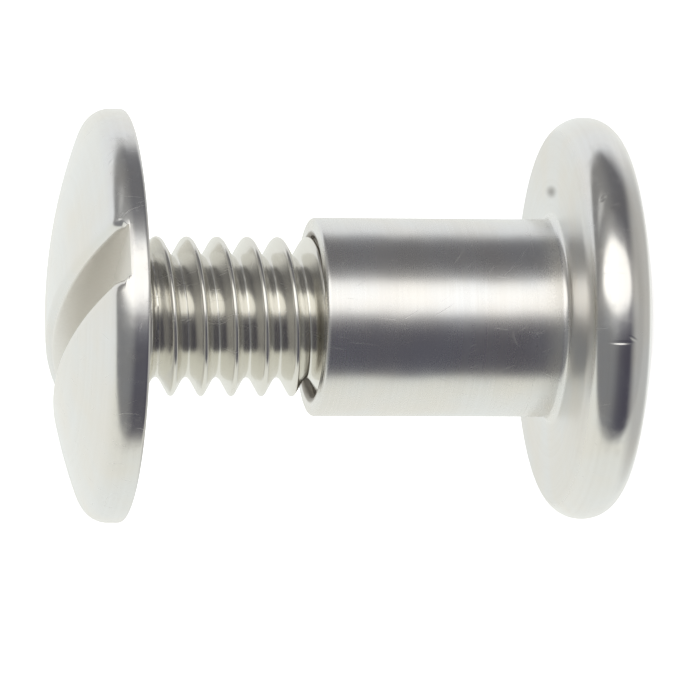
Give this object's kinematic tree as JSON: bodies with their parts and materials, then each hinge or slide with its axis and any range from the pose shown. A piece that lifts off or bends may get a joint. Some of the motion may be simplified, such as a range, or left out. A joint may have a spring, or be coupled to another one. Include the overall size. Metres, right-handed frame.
{
  "type": "binding barrel screw",
  "caption": "Two-part binding screw: a domed-head blind barrel and a slotted domed-head screw that threads into its mouth to clamp stacked sheets.",
  "frame": {"origin": "crown of the barrel's head, on the common axis of barrel and screw, where the part stands", "axes": "+Z along the common axis, from the barrel's head to the screw's head; the thread's crest crosses the XZ plane at +X just under the screw's head"},
  "size_m": [0.0107, 0.0106, 0.0155],
  "materials": {
    "barrel_nickel": "bright nickel plate on turned steel",
    "screw_nickel": "bright nickel plate on a cold-headed steel screw, softer in the rolled thread"
  },
  "bodies": {
    "barrel": {"barrel_post": "barrel_nickel"},
    "screw": {"slotted_screw": "screw_nickel"}
  },
  "joints": [
    {"name": "screw_travel", "type": "slide", "parent": "barrel", "child": "screw", "axis": [0, 0, 1], "range_m": [-0.00496, 0.0032]}
  ]
}
